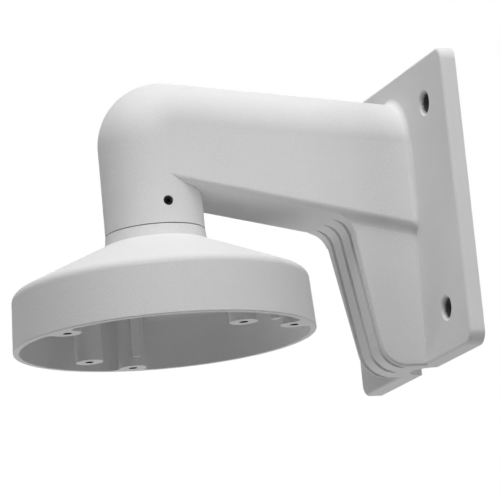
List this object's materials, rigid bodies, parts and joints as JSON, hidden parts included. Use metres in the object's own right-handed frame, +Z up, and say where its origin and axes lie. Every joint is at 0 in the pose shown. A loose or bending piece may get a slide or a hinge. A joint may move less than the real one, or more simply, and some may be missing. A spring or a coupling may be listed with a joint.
{
  "type": "camera wall bracket",
  "caption": "Hollow cast wall arm with a square mounting plate, a grooved gusset and a downward neck that carries a round, open camera mounting cap.",
  "frame": {"origin": "middle of the wall plate's back face, in the plane of the wall", "axes": "+Z up, +Y into the wall, so the arm reaches out along -Y and X runs along the wall; the neck and cap point down, -Z"},
  "size_m": [0.12, 0.1712, 0.12],
  "materials": {
    "coated_casting": "fine satin powder coat",
    "coated_cap": "fine satin powder coat",
    "screw_steel": "black oxide",
    "seal_rubber": "matte"
  },
  "bodies": {
    "root": {"bracket_casting": "coated_casting", "mounting_cap": "coated_cap", "set_screw": "screw_steel", "neck_seal": "seal_rubber"}
  },
  "joints": []
}
